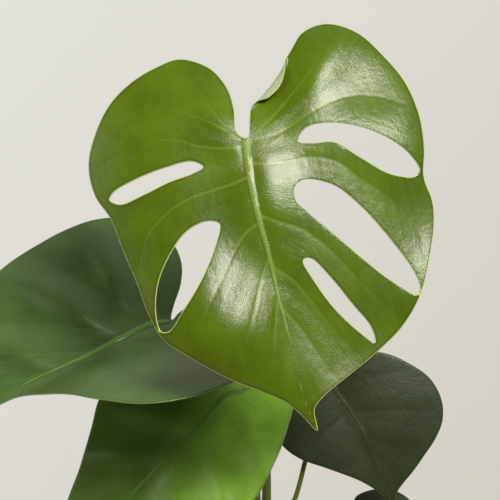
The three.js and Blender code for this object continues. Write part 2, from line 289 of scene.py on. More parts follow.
# radius and route of each stalk, from the stem to just behind its blade
STALKS = {
    "petiole_1": (2.9, [(1, 1, 150), (5, 2, 176), (7, 1, 204), (7, 6, 240), (6, 16, 285),
                        (3, 14, 335), (-1, -8, 390), (-5, -42, 440), (-7, -66, 461),
                        (-7, -77, 465.7)]),
    "petiole_2": (2.6, [(-2, 2, 141), (-10, 5, 164), (-20, 14, 204), (-36, 32, 255),
                        (-54, 46, 300), (-64, 38, 325), (-66, 18, 333), (-64.3, 3, 334)]),
    "petiole_3": (2.4, [(-1, -3, 146), (0, -9, 172), (0.5, -7, 204), (-2, 4, 244), (-7, 12, 268),
                        (-9.5, 9, 281), (-8, 3.5, 287), (-10, -1.5, 283.8)]),
    "petiole_4": (1.9, [(3, 3, 140), (14, 12, 168), (29, 21, 200), (38, 28, 232), (48, 38, 262),
                        (56, 40, 279), (57, 29, 284)]),
    "petiole_5": (1.8, [(4, -2, 139), (20, 8, 145), (40, 27, 152), (60, 48, 161), (74, 56, 171),
                        (78.8, 49, 177.5)]),
}


class MonsteraSizes(bpy.types.PropertyGroup):
    """Sizes a user would change."""

    blade: FloatProperty(
        name="Blade thickness", description="Thickness of every leaf blade",
        default=0.7 * MM, min=0.3 * MM, max=1.2 * MM, unit="LENGTH")
    # the margin line is painted rim light, a pale line round each blade
    margin: FloatProperty(
        name="Margin line", description="Width of the pale line round a blade, in millimetres",
        default=0.5, min=0.2, max=2)
    vein_dip: FloatProperty(
        name="Vein depth", description="How far the side veins sink into the blade, in millimetres",
        default=1.0, min=0, max=3)
    midrib: FloatProperty(
        name="Midrib width",
        description="Width of the midrib where the stalk joins, in millimetres",
        default=4.2, min=1, max=10)
    chips: IntProperty(
        name="Bark chips", description="Chips of bark lying on the soil",
        default=330, min=0, max=600)
    grit: IntProperty(
        name="Perlite grains", description="White grains in the soil", default=120, min=0, max=400)
    pot_edge: FloatProperty(
        name="Pot edge radius", description="Rounding of the pot's lip and foot",
        default=1.2 * MM, min=0.2 * MM, max=3 * MM, unit="LENGTH")


def colour_prop(name, description, value):
    return FloatVectorProperty(
        name=name, description=description, default=linear(value)[:3], subtype="COLOR",
        size=3, min=0, max=1)


class MonsteraColours(bpy.types.PropertyGroup):
    """Colours a user would change."""

    young_leaf: colour_prop("Young leaf", "Upper face of the newest leaf", "526b08")
    old_leaf: colour_prop("Old leaf", "Upper face of the oldest leaf", "48652c")
    # the hanging leaf's colour is scaled across the blade by painted shade at the upper left and
    # painted light at the right
    middle_leaf: colour_prop("Middle leaf", "Upper face of the hanging leaf", "6c9430")
    # the small back leaves' colour is darkened as painted shade
    shaded_leaf: colour_prop("Shaded leaf", "Upper face of the small dark leaves", "2b3719")
    stalk: colour_prop("Stalk", "Skin of the leaf stalks", "5f7024")
    stem: colour_prop("Stem", "Skin of the main stem", "5d6a2c")
    soil: colour_prop("Soil", "Damp potting soil", "3a2b20")
    bark: colour_prop("Bark", "Chips of pine bark", "6b4a33")
    perlite: colour_prop("Perlite", "Expanded volcanic grit", "dcd8cd")
    pot: colour_prop("Pot", "Matte glaze of the pot", "d9d4c8")
    floor: colour_prop("Floor", "Pale floor under the pot", "e0dcd3")


# ---------------------------------------------------------------- curves and distances


def curve(points, closed=False, step=0.5):
    """Points about step apart on a centripetal spline through the given points."""
    p = np.array(points, float)
    if closed:
        p = np.vstack([p[-1], p, p[0], p[1]])
    else:
        p = np.vstack([2 * p[0] - p[1], p, 2 * p[-1] - p[-2]])
    found = []
    for a, b, c, d in zip(p[:-3], p[1:-2], p[2:-1], p[3:]):
        t0, t1, t2 = (max(np.linalg.norm(v - u) ** 0.5, 1e-4) for u, v in ((a, b), (b, c), (c, d)))
        start = ((b - a) / t0 - (c - a) / (t0 + t1) + (c - b) / t1) * t1
        end = ((c - b) / t1 - (d - b) / (t1 + t2) + (d - c) / t2) * t1
        count = max(2, math.ceil(np.linalg.norm(c - b) / step))
        t = (np.arange(count) / count)[:, None]
        found.append(
            (2 * t**3 - 3 * t**2 + 1) * b + (t**3 - 2 * t**2 + t) * start
            + (3 * t**2 - 2 * t**3) * c + (t**3 - t**2) * end)
    if not closed:
        found.append(p[-2][None])
    return np.vstack(found)


def smooth(x):
    x = np.clip(x, 0, 1)
    return x * x * (3 - 2 * x)


def to_line(points, line):
    """Distance from each point to a line of points, how far along it, and on which side."""
    best = np.full(len(points), np.inf)
    along, side = np.zeros(len(points)), np.ones(len(points))
    gone = 0.0
    for a, b in zip(line[:-1], line[1:]):
        ab = b - a
        length = np.linalg.norm(ab)
        t = np.clip(((points - a) @ ab) / length**2, 0, 1)
        off = points - a - t[:, None] * ab
        far = np.hypot(off[:, 0], off[:, 1])
        near = far < best
        best[near] = far[near]
        along[near] = gone + t[near] * length
        side[near] = np.sign(ab[0] * off[near, 1] - ab[1] * off[near, 0])
        gone += length
    return best, along, side, gone


# ---------------------------------------------------------------- pieces


def add_piece(bm, name, materials, nodes=None):
    """Makes the finished mesh an object that stands for its CAD nodes and rides on the body."""
    mesh = bpy.data.meshes.new(name)
    bm.to_mesh(mesh)
    bm.free()
    for material in materials:
        mesh.materials.append(material)
    mesh.shade_smooth()
    piece = bpy.data.objects.new(name, mesh)
    bpy.context.scene.collection.objects.link(piece)
    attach(piece, BODY)
    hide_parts(*(nodes or [name.removeprefix("living_")]))
    return piece


def add(tree, kind, values=(), **settings):
    """Adds a node with its settings. values gives an input a constant, another node's output,
    or a node, of which the first output is meant."""
    node = tree.nodes.new("ShaderNode" + kind)
    for key, value in settings.items():
        setattr(node, key, value)
    for key, value in dict(values).items():
        if isinstance(value, bpy.types.Node):
            value = value.outputs[0]
        if isinstance(value, bpy.types.NodeSocket):
            tree.links.new(value, node.inputs[key])
        else:
            node.inputs[key].default_value = value
    return node


def row(tree, kind, feed, out, start, steps, **settings):
    """Adds nodes of one kind in a row, each fed with the output of the one before it."""
    for values in steps:
        fed = values if start is None else {**values, feed: start}
        start = add(tree, kind, fed, **settings).outputs[out]
    return start


def new_material(name):
    """An empty material, its node tree and the place on the object that its patterns read."""
    material = bpy.data.materials.new(name)
    material.use_nodes = True
    tree = material.node_tree
    tree.nodes.clear()
    return material, tree, add(tree, "TexCoord").outputs["Object"]


def rgba(colour, gain=1.0):
    return [min(1.0, c * gain) for c in list(colour)[:3]] + [1.0]


# ---------------------------------------------------------------- blades


def cut_sheet(leaf, cell):
    """A flat grid cut to the blade's outline and slits, its rim moved onto those lines."""
    loops = [curve(line, True, 0.3) for line in (leaf["outline"], *leaf.get("slits", ()))]
    points, inward = [], []
    for number, loop in enumerate(loops):
        run = np.roll(loop, -1, 0) - np.roll(loop, 1, 0)
        x, y = loop[:, 0], loop[:, 1]
        area = np.sum(x * np.roll(y, -1) - y * np.roll(x, -1))
        turn = np.sign(area) * (1 if number == 0 else -1)
        points.append(loop)
        inward.append(np.stack([-run[:, 1], run[:, 0]], 1) * turn)
    points, inward = np.vstack(points), np.vstack(inward)
    tree = KDTree(len(points))
    for i, p in enumerate(points):
        tree.insert((p[0], p[1], 0), i)
    tree.balance()

    def depth(place):
        foot, i, far = tree.find((place[0], place[1], 0))
        inside = (place[0] - foot[0]) * inward[i, 0] + (place[1] - foot[1]) * inward[i, 1]
        return (far if inside > 0 else -far), foot

    low, high = loops[0].min(0) - cell, loops[0].max(0) + cell
    cells = np.ceil((high - low) / cell).astype(int)
    bm = bmesh.new()
    bmesh.ops.create_grid(bm, x_segments=int(cells[0]), y_segments=int(cells[1]), size=1)
    half, middle = (high - low) / 2, (high + low) / 2
    bmesh.ops.scale(bm, vec=(half[0], half[1], 1), verts=bm.verts)
    bmesh.ops.translate(bm, vec=(middle[0], middle[1], 0), verts=bm.verts)
    outside = [f for f in bm.faces if depth(f.calc_center_median())[0] < -0.2 * cell]
    bmesh.ops.delete(bm, geom=outside, context="FACES")
    for _ in range(3):
        pinched = {v for v in bm.verts if sum(e.is_boundary for e in v.link_edges) > 2}
        ears = []
        for f in bm.faces:
            open_sides = sum(e.is_boundary for e in f.edges)
            if open_sides > 2 or open_sides > 1 and pinched.intersection(f.verts):
                ears.append(f)
        bmesh.ops.delete(bm, geom=ears, context="FACES")
    rim = [v for v in bm.verts if v.is_boundary]
    for _ in range(3):
        for v in rim:
            v.co = depth(v.co)[1]
        eased = {}
        for v in rim:
            beside = [e.other_vert(v).co for e in v.link_edges if e.is_boundary]
            if len(beside) == 2:
                eased[v] = v.co * 0.5 + (beside[0] + beside[1]) * 0.25
        for v, place in eased.items():
            v.co = place
    for v in rim:
        v.co = depth(v.co)[1]
    inner = [v for v in bm.verts if not v.is_boundary and depth(v.co)[0] < 3 * cell]
    for _ in range(4):
        bmesh.ops.smooth_vert(bm, verts=inner, factor=0.5, use_axis_x=True, use_axis_y=True)
    edge = np.array([0.0 if v.is_boundary else max(0.0, depth(v.co)[0]) for v in bm.verts])
    return bm, edge


def rolled(flat, roll):
    """Turns the margin beyond a fold line up and back over the blade. Returns places and lift."""
    line = curve(roll["fold"], False, 1.0)
    far, along, side, length = to_line(flat, line)
    radius = roll["radius"]
    share = smooth(along / (0.3 * length)) * smooth((length - along) / (0.3 * length))
    out = -far * side
    over = np.maximum(0, out + radius)
    turn = np.minimum(over / radius, math.pi)
    across = radius * np.sin(turn) - np.maximum(0, over - math.pi * radius)
    lift = radius * (1 - np.cos(turn)) * share
    shift = np.where(over > 0, across - over, 0) * share
    foot_away = np.zeros_like(flat)
    runs = line[1:] - line[:-1]
    runs /= np.linalg.norm(runs, axis=1)[:, None]
    steps = np.linalg.norm(line[1:] - line[:-1], axis=1).cumsum()
    pick = np.minimum(np.searchsorted(steps, along), len(runs) - 1)
    foot_away[:, 0], foot_away[:, 1] = runs[pick, 1], -runs[pick, 0]
    near = (far < roll["reach"]) & (share > 0)
    return flat + np.where(near, shift, 0)[:, None] * foot_away, np.where(near, lift, 0)


# swells and ribs rise this way, so that they leave the blade's outline where it is from the front
TOWARDS_LENS = (0, -0.9945, 0.1045)


def plain_relief(x, y, s):
    bend = np.where(y > 0, s["arch"], s["back"])
    return (
        s["fold"] * (np.sqrt(x * x + s["soft"] ** 2) - s["soft"])
        - s["side"] * x * x - bend * y * y + s.get("twist", 0) * x * y)


def blade_axes(leaf):
    along = Vector(leaf["tip"]).normalized()
    across = along.cross(Vector(leaf["face"])).normalized()
    return np.array([across, along, across.cross(along)])


def grow_blade(name, leaf, sizes, colours, cell):
    """One leaf blade: the cut sheet, raised between its veins, rolled, bent and thickened."""
    bm, edge = cut_sheet(leaf, cell)
    flat = np.array([v.co[:2] for v in bm.verts])
    rib, rib_run, side, rib_length = to_line(flat, curve(leaf["midrib"], False, 3))
    rib_size = leaf.get("rib", 1)
    rib_half = sizes.midrib / 2 * (1 - 0.85 * smooth(1.15 * rib_run / rib_length)) * rib_size
    vein = np.full(len(flat), 99.0)
    vein_run, flow = np.zeros(len(flat)), np.zeros(len(flat))
    for half, sign in (("left", -1), ("right", 1)):
        here = side == sign if sign > 0 else side <= 0
        weights = np.zeros(here.sum())
        total = np.zeros(here.sum())
        for number, route in enumerate(leaf[half]):
            far, run, _, length = to_line(flat[here], curve(route, False, 3))
            weight = 1 / (far**2 + 4) ** 1.5
            weights += weight
            total += weight * number
            closer = far < vein[here]
            vein[here] = np.where(closer, far, vein[here])
            vein_run[here] = np.where(closer, run / length, vein_run[here])
        flow[here] = total / weights
    places, lift = rolled(flat, leaf["roll"]) if "roll" in leaf else (flat, 0)
    x, y = places[:, 0], places[:, 1]
    plain, rise = plain_relief(x, y, leaf["shape"]), lift
    fade = smooth(edge / 10) * smooth(rib / 6) * smooth(np.hypot(*flat.T) / 30)
    groove = sum(deep * np.exp(-((vein / wide) ** 2)) for deep, wide in (VEIN_HOLLOW, VEIN_CREASE))
    rise -= sizes.vein_dip * groove * (1 - 0.6 * vein_run) * fade
    taper = smooth(1.1 - rib_run / rib_length)
    for height, wide, power, room in (RIB_DIP, RIB_RIDGE):
        across = np.exp(-((rib / (wide * rib_half)) ** power))
        rise += height * rib_size * taper * across * smooth(edge / room)
    for cx, cy, long, wide, turned, height in leaf.get("swells", ()):
        c, s = math.cos(math.radians(turned)), math.sin(math.radians(turned))
        u, v = (x - cx) * c + (y - cy) * s, (y - cy) * c - (x - cx) * s
        rise += height * np.exp(-((u / long) ** 2) - (v / wide) ** 2)
    axes = blade_axes(leaf)
    lean = np.array(TOWARDS_LENS) / np.dot(TOWARDS_LENS, axes[2])
    solid = np.stack([x, y, plain], 1) @ axes + rise[:, None] * lean
    bare = np.stack([flat[:, 0], flat[:, 1], plain_relief(*flat.T, leaf["shape"])], 1) @ axes
    low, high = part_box(name)
    middle = np.array((low + high) / 2)
    start = middle - (bare.min(0) + bare.max(0)) / 2 * MM if "roll" not in leaf else (
        np.array(leaf["junction"]) * MM)
    for v, place in zip(bm.verts, solid):
        v.co = start + place * MM
    layers = {
        "edge_mm": edge,
        "rib_widths": rib / rib_half,
        "vein_mm": vein + 1.2 * vein_run + 2.0 * smooth(1 - edge / 6),
    }
    uv = bm.loops.layers.uv.new("veins")
    for f in bm.faces:
        for loop in f.loops:
            i = loop.vert.index
            loop[uv].uv = (flow[i], rib[i] / 25)
    piece = add_piece(
        bm, "living_" + name,
        [leaf_upper(leaf, sizes, colours), leaf_under(leaf), leaf_rim(leaf)],
        [name])
    for key, values in layers.items():
        layer = piece.data.attributes.new(key, "FLOAT", "POINT")
        layer.data.foreach_set("value", values.astype(np.float32))
    thick = piece.modifiers.new("Blade thickness", "SOLIDIFY")
    thick.thickness = sizes.blade
    thick.offset = 0
    thick.material_offset = 1
    thick.material_offset_rim = 2
    return piece


def finish(name, paint, glow=None, glow_share=0.0):
    """A finish by its name, made the first time it is asked for. paint adds its pattern and
    gives the settings of its skin. glow is the light that comes through from behind."""
    if name in bpy.data.materials:
        return bpy.data.materials[name]
    material, tree, place = new_material(name)
    surface = add(tree, "BsdfPrincipled", paint(tree, place))
    if glow:
        through = add(tree, "BsdfTranslucent", {"Color": glow})
        surface = add(tree, "MixShader",
                      {0: glow_share, 1: surface, 2: through})
    add(tree, "OutputMaterial", {"Surface": surface})
    return material


def marked(tree, base, marks):
    """Lays colours over the base, each where a reading falls from its start to its full value."""
    for reading, start, full, strength, colour in marks:
        where = add(tree, "MapRange",
                    {0: reading, 1: start, 2: full, 3: 0.0, 4: strength},
                    interpolation_type="SMOOTHSTEP")
        base = add(tree, "Mix", {0: where, 6: base, 7: colour},
                   data_type="RGBA").outputs[2]
    return base


def readings(tree, *names):
    """What the blade's points know of themselves, such as how far off the rim is."""
    return [add(tree, "Attribute", attribute_name=n).outputs["Fac"] for n in names]


def leaf_upper(leaf, sizes, colours):
    """Living leaf tissue, waxy cuticle on top: a soft gloss broken by fine veinlets and pebbling,
    pale ribs and veins, a thin pale line at the rim painted as rim light with a darker line
    inside it, and on the middle leaf painted shade at the upper left and painted light at the
    right."""
    kind = leaf["finish"]
    tissue, tones = getattr(colours, kind), LEAF_TONES[kind]

    def paint(tree, place):
        edge, rib, vein = readings(tree, "edge_mm", "rib_widths", "vein_mm")
        # soft patches about 30 mm across
        patches = add(tree, "TexNoise", {"Vector": place, "Scale": 32.0, "Detail": 3.0})
        patch = add(tree, "MapRange", {0: patches, 1: 0.35, 2: 0.65})
        # veinlets run from rib to rim, about 1.4 mm apart
        veins = add(tree, "UVMap", uv_map="veins")
        lanes = add(tree, "Mapping", {0: veins, 3: (18.0, 3.5, 1.0)})
        lane = add(tree, "TexNoise", {
            "Vector": lanes, "Scale": 1.0, "Detail": 4.0, "Roughness": 0.6})
        streak = add(tree, "MapRange", {0: lane, 1: 0.35, 2: 0.65, 3: 0.0, 4: 0.15})
        # pebbled cells between veinlets, about 1 mm
        cells = add(tree, "TexVoronoi", {"Vector": place, "Scale": 900.0})
        # slack wrinkles about 5 mm across
        wrinkles = add(tree, "TexNoise", {"Vector": place, "Scale": 200.0, "Detail": 3.0})
        base = row(tree, "Mix", 6, 2, rgba(tissue, 0.80), [
            {0: patch, 7: rgba(tissue, 1.12)},
            {0: streak, 7: rgba(tissue, 1.6)}], data_type="RGBA")
        if kind == "middle_leaf":
            # painted shade and painted light: darker at the upper left, where the old leaf's shadow
            # falls, and paler at the right, where light falls on it
            across = add(tree, "VectorMath", {0: place, 1: (2.0, 0.0, -1.0)},
                         operation="DOT_PRODUCT")
            tone = add(tree, "MapRange",
                       {0: across.outputs["Value"], 1: -0.39, 2: -0.27, 3: 0.6, 4: 2.1})
            base = add(tree, "VectorMath", {0: base, 3: tone},
                       operation="SCALE")
        base = marked(tree, base, [
            (vein, 1.5, 0.5, 0.3, linear(tones["vein"])),
            (rib, 1.15, 0.75, 0.9, linear(tones["rib"])),
            (edge, 2.6, 1.1, 0.45, rgba(tissue, 0.45)),
            # painted rim light: a pale line along the edge, where light glows through it
            (edge, sizes.margin * 1.3, sizes.margin * 0.5, 1.0, linear(tones["rim"]))])
        normal = row(tree, "Bump", "Normal", 0, None, [
            {"Strength": 0.65, "Distance": 0.3 * MM, "Height": lane},
            {"Strength": 0.35, "Distance": 0.45 * MM, "Height": wrinkles},
            {"Strength": 0.12, "Distance": 0.15 * MM, "Height": cells}])
        gloss = add(tree, "MapRange", {
            0: lane, 1: 0.3, 2: 0.7, 3: tones["roughness"], 4: tones["roughness"] + 0.08})
        return {"Base Color": base, "Roughness": gloss, "IOR": 1.45, "Normal": normal}

    return finish("waxy_" + kind, paint, rgba(tissue, 1.3), 0.1)


def leaf_under(leaf):
    """The underside of living leaf tissue: paler, greyer and duller, with raised pale ribs."""
    tissue = linear(LEAF_TONES[leaf["finish"]]["under"])

    def paint(tree, place):
        rib, vein = readings(tree, "rib_widths", "vein_mm")
        net = add(tree, "TexVoronoi", {"Vector": place, "Scale": 420.0},
                  feature="DISTANCE_TO_EDGE")
        mottle = add(tree, "TexNoise", {"Vector": place, "Scale": 120.0, "Detail": 4.0})
        base = add(tree, "Mix",
                   {0: mottle, 6: rgba(tissue, 0.85), 7: rgba(tissue, 1.1)},
                   data_type="RGBA").outputs[2]
        base = marked(tree, base, [
            (vein, 2.0, 0.5, 0.7, rgba(tissue, 1.45)), (rib, 1.4, 0.9, 1.0, rgba(tissue, 1.55))])
        bump = add(tree, "Bump", {
            "Strength": 0.15, "Distance": 0.2 * MM, "Height": net})
        return {"Base Color": base, "Roughness": 0.6, "IOR": 1.42, "Normal": bump}

    return finish("underside_" + leaf["finish"], paint, rgba(tissue, 0.9), 0.16)


def leaf_rim(leaf):
    """The cut edge of the blade: colourless horny margin, which lets light through."""
    colour = linear(LEAF_TONES[leaf["finish"]]["margin"])

    def paint(tree, place):
        uneven = add(tree, "TexNoise", {"Vector": place, "Scale": 150.0})
        base = add(tree, "Mix",
                   {0: uneven, 6: rgba(colour, 0.85), 7: rgba(colour, 1.05)},
                   data_type="RGBA").outputs[2]
        return {"Base Color": base, "Roughness": 0.4, "IOR": 1.45}

    return finish("margin_" + leaf["finish"], paint, colour, 0.4)


# ---------------------------------------------------------------- stalks and stem


def sweep(bm, route, radii, sides):
    """A tube grown ring by ring along a route, its ends closed."""
    ring = bmesh.ops.create_circle(bm, cap_ends=True, segments=sides, radius=1)["verts"]
    for face in {f for v in ring for f in v.link_faces}:
        face.normal_flip()
    runs = np.gradient(route, axis=0)
    frames = []
    normal = Vector((1, 0, 0))
    for place, run, radius in zip(route, runs, radii):
        forward = Vector(run).normalized()
        normal = (normal - forward * normal.dot(forward)).normalized()
        other = forward.cross(normal)
        frames.append((
            Matrix((normal * radius, other * radius, forward)).transposed().to_4x4(),
            Vector(place)))
    turn, place = frames[0]
    matrix = Matrix.Translation(place) @ turn
    bmesh.ops.transform(bm, matrix=matrix, verts=ring)
    uv = bm.loops.layers.uv.verify()
    edges = list({e for v in ring for e in v.link_edges})
    run_length = 0.0
    for k, (turn, place) in enumerate(frames[1:], 1):
        grown = bmesh.ops.extrude_edge_only(bm, edges=edges)["geom"]
        verts = [g for g in grown if isinstance(g, bmesh.types.BMVert)]
        edges = [g for g in grown if isinstance(g, bmesh.types.BMEdge)]
        after = Matrix.Translation(place) @ turn
        bmesh.ops.transform(bm, matrix=after @ matrix.inverted(), verts=verts)
        new_run = run_length + float(np.linalg.norm(route[k] - route[k - 1]))
        fresh = set(verts)
        for f in {f for v in verts for f in v.link_faces}:
            for loop in f.loops:
                own = after if loop.vert in fresh else matrix
                local = own.inverted() @ loop.vert.co
                around = math.atan2(local.y, local.x) / math.tau
                loop[uv].uv = (around, new_run if loop.vert in fresh else run_length)
        matrix, run_length = after, new_run
    bmesh.ops.contextual_create(bm, geom=edges)
    bmesh.ops.recalc_face_normals(bm, faces=bm.faces)


def grow_stalk(name, colours, sides=18):
    """A stalk: a clasping foot, a long taper and the swollen joint under the blade."""
    thick, route = STALKS[name]
    path = curve(route, False, 2.0)
    run = np.concatenate([[0], np.linalg.norm(np.diff(path, axis=0), axis=1).cumsum()])
    share = run / run[-1]
    radius = thick * (1 + 0.45 * (1 - smooth(share / 0.3)) - 0.06 * share)
    left = run[-1] - run
    joint, end = 0.16 * np.exp(-(((left - 14) / 9) ** 2)), 0.3 * np.exp(-((left / 2.5) ** 2))
    neck = 0.05 * np.exp(-(((left - 27) / 2.5) ** 2))
    radius = radius * (1 + joint - end) * (1 - neck)
    bm = bmesh.new()
    sweep(bm, path * MM, radius * MM, sides)
    return add_piece(bm, "living_" + name, [stalk_skin(colours)], [name])


def stalk_skin(colours):
    """Living stalk skin: waxy, faintly ribbed along its length, with pale flecks."""

    def paint(tree, place):
        # fibres about 1 mm wide, stretched along the stalk
        stretched = add(tree, "Mapping", {0: place, 3: (900.0, 900.0, 60.0)})
        fibre = add(tree, "TexNoise",
                    {"Vector": stretched, "Scale": 1.0, "Detail": 2.0})
        flecks = add(tree, "TexVoronoi", {"Vector": place, "Scale": 700.0})
        fleck = add(tree, "MapRange",
                    {0: flecks, 1: 0.3, 2: 0.12, 3: 0.0, 4: 0.5})
        tone = add(tree, "TexNoise", {"Vector": place, "Scale": 25.0})
        base = row(tree, "Mix", 6, 2, rgba(colours.stalk, 0.7), [
            {0: tone, 7: rgba(colours.stalk, 1.1)},
            {0: fleck, 7: rgba(colours.stalk, 1.9)}], data_type="RGBA")
        bump = add(tree, "Bump", {
            "Strength": 0.3, "Distance": 0.2 * MM, "Height": fibre})
        return {"Base Color": base, "Roughness": 0.42, "IOR": 1.45, "Normal": bump}

    return finish("waxy_stalk", paint)


def stem_skin(colours):
    """Old green stem: corky brown scars where leaves fell, over waxy green skin."""

    def paint(tree, place):
        # scars about 5 mm apart
        rings = add(tree, "TexWave",
                    {"Vector": place, "Scale": 60.0, "Distortion": 2.5, "Detail": 3.0},
                    bands_direction="Z")
        scar = add(tree, "MapRange",
                   {0: rings.outputs["Fac"], 1: 0.72, 2: 0.95, 3: 0.0, 4: 0.7})
        cork = add(tree, "TexNoise", {"Vector": place, "Scale": 170.0, "Detail": 6.0})
        base = row(tree, "Mix", 6, 2, rgba(colours.stem, 0.65), [
            {0: cork, 7: rgba(colours.stem, 1.15)},
            {0: scar, 7: linear("6b5336")}], data_type="RGBA")
        bump = add(tree, "Bump", {
            "Strength": 0.5, "Distance": 0.5 * MM, "Height": cork})
        return {"Base Color": base, "Roughness": 0.6, "Normal": bump}

    return finish("corky_stem", paint)


# ---------------------------------------------------------------- soil and pot


def turned(bm, profile, steps):
    """Spins a profile of radius and height in millimetres round the upright axis."""
    parts = [bm.verts.new((radius * MM, 0, height * MM)) for radius, height in profile]
    edges = [bm.edges.new(pair) for pair in zip(parts[:-1], parts[1:])]
    bmesh.ops.spin(bm, geom=parts + edges, cent=(0, 0, 0), axis=(0, 0, 1), angle=math.tau,
                   steps=steps, use_merge=True)
    bmesh.ops.remove_doubles(bm, verts=bm.verts, dist=0.01 * MM)


def ground_height(x, y):
    """Height of the soil in millimetres at a place in the pot: a low crown, roughened."""
    off_crown = float(smooth(np.array((math.hypot(x, y) / SOIL_RADIUS - 0.2) / 0.8)))
    rough = noise.fractal(Vector((x, y, 0)) * 0.09, 0.9, 2.1, 4)
    return SOIL_EDGE + SOIL_CROWN * (1 - off_crown) + 1.3 * rough


def soil_finishes(colours):
    """Damp peat, split pine bark and expanded perlite, each rough and dull."""

    def peat(tree, place):
        crumb = add(tree, "TexNoise", {"Vector": place, "Scale": 380.0, "Detail": 8.0})
        fibre = add(tree, "TexVoronoi", {"Vector": place, "Scale": 500.0})
        base = add(tree, "Mix",
                   {0: crumb, 6: rgba(colours.soil, 0.4), 7: rgba(colours.soil, 1.5)},
                   data_type="RGBA").outputs[2]
        normal = row(tree, "Bump", "Normal", 0, None, [
            {"Strength": 0.9, "Distance": 1.2 * MM, "Height": crumb},
            {"Strength": 0.5, "Distance": 0.6 * MM, "Height": fibre}])
        return {"Base Color": base, "Roughness": 0.92, "Normal": normal}

    def bark(tree, place):
        stretched = add(tree, "Mapping", {0: place, 3: (700.0, 260.0, 700.0)})
        grain = add(tree, "TexNoise",
                    {"Vector": stretched, "Scale": 1.0, "Detail": 5.0})
        tone = add(tree, "TexNoise", {"Vector": place, "Scale": 110.0})
        base = row(tree, "Mix", 6, 2, rgba(colours.bark, 0.35), [
            {0: grain, 7: rgba(colours.bark, 1.25)},
            {0: tone, 7: linear("4a3324")}], data_type="RGBA")
        bump = add(tree, "Bump", {
            "Strength": 0.6, "Distance": 0.5 * MM, "Height": grain})
        return {"Base Color": base, "Roughness": 0.85, "Normal": bump}

    def perlite(tree, place):
        pores = add(tree, "TexVoronoi", {"Vector": place, "Scale": 1800.0})
        base = add(tree, "Mix",
                   {0: pores, 6: rgba(colours.perlite, 0.7), 7: rgba(colours.perlite)},
                   data_type="RGBA").outputs[2]
        bump = add(tree, "Bump", {
            "Strength": 0.5, "Distance": 0.3 * MM, "Height": pores})
        return {"Base Color": base, "Roughness": 0.8, "Normal": bump}

    return [finish("damp_peat", peat), finish("pine_bark", bark), finish("perlite_grit", perlite)]


def scatter(bm, count, dice, make, material):
    """Lays count small pieces on the soil, clear of the stem and the pot wall."""
    laid = 0
    while laid < count:
        r, turn = 70.5 * math.sqrt(dice.random()), dice.random() * math.tau
        if r < 15:
            continue
        x, y = r * math.cos(turn), r * math.sin(turn)
        made = make(dice)
        spin = Matrix.Rotation(dice.random() * math.tau, 4, "Z")
        hinge = Vector((math.cos(turn), 0.4, 0)).normalized()
        tip = Matrix.Rotation(dice.uniform(-0.35, 0.35), 4, hinge)
        lift = Vector((x, y, ground_height(x, y) + dice.uniform(0.1, 1.3))) * MM
        bmesh.ops.transform(bm, matrix=Matrix.Translation(lift) @ tip @ spin, verts=made)
        for f in {f for v in made for f in v.link_faces}:
            f.material_index = material
        laid += 1


def bark_chip(bm, dice):
    chip = bmesh.ops.create_cube(bm, size=1)["verts"]
    long, wide = dice.uniform(5, 12), dice.uniform(3, 6)
    bmesh.ops.scale(bm, vec=(long * MM, wide * MM, dice.uniform(1.2, 2.4) * MM), verts=chip)
    for v in chip:
        v.co += Vector([dice.uniform(-0.9, 0.9) * MM for _ in range(3)])
    edges = list({e for v in chip for e in v.link_edges})
    cut = bmesh.ops.bevel(bm, geom=edges, offset=0.45 * MM, offset_type="OFFSET", segments=1,
                          profile=0.5, affect="EDGES", material=-1)
    return list({v for f in cut["faces"] for v in f.verts})


def perlite_grain(bm, dice):
    radius = dice.uniform(0.8, 1.9) * MM
    grain = bmesh.ops.create_icosphere(bm, subdivisions=1, radius=radius)["verts"]
    for v in grain:
        v.co *= dice.uniform(0.8, 1.15)
    return grain


def speckled_glaze(colours):
    """Stoneware under a matte glaze: warm off-white, iron specks mostly under 1 mm, and faint
    throwing rings about 4 mm apart."""

    def paint(tree, place):
        cloud = add(tree, "TexNoise", {"Vector": place, "Scale": 18.0, "Detail": 4.0})
        specks = add(tree, "TexVoronoi", {"Vector": place, "Scale": 330.0})
        keep = add(tree, "TexNoise", {"Vector": place, "Scale": 210.0})
        size = add(tree, "MapRange",
                   {0: keep, 1: 0.52, 2: 0.72, 3: 0.0, 4: 0.3})
        speck = add(tree, "Math", {0: specks, 1: size},
                    operation="LESS_THAN")
        wheel = add(tree, "TexWave",
                    {"Vector": place, "Scale": 75.0, "Distortion": 0.6, "Detail": 2.0},
                    bands_direction="Z")
        base = row(tree, "Mix", 6, 2, rgba(colours.pot, 0.9), [
            {0: cloud, 7: rgba(colours.pot, 1.04)},
            {0: speck, 7: linear("7d6248")}], data_type="RGBA")
        normal = row(tree, "Bump", "Normal", 0, None, [
            {"Strength": 0.25, "Distance": 0.35 * MM, "Height": wheel.outputs["Fac"]},
            {"Strength": 0.2, "Distance": 0.2 * MM, "Height": cloud}])
        return {"Base Color": base, "Roughness": 0.62, "IOR": 1.5, "Normal": normal}

    return finish("matte_stoneware_glaze", paint)


# ---------------------------------------------------------------- operators


class MONSTERA_OT_leaves(bpy.types.Operator):
    """Grow the five leaf blades"""

    bl_idname = "monstera.leaves"
    bl_label = "Leaves"

    def execute(self, context):
        scene = context.scene
        for name, leaf in LEAVES.items():
            cell = LARGE_BLADE_CELL if "slits" in leaf else BLADE_CELL
            grow_blade(name, leaf, scene.monstera_sizes, scene.monstera_colours, cell)
        return {"FINISHED"}


class MONSTERA_OT_stalks(bpy.types.Operator):
    """Grow the leaf stalks"""

    bl_idname = "monstera.stalks"
    bl_label = "Stalks"

    def execute(self, context):
        for name in STALKS:
            grow_stalk(name, context.scene.monstera_colours)
        return {"FINISHED"}


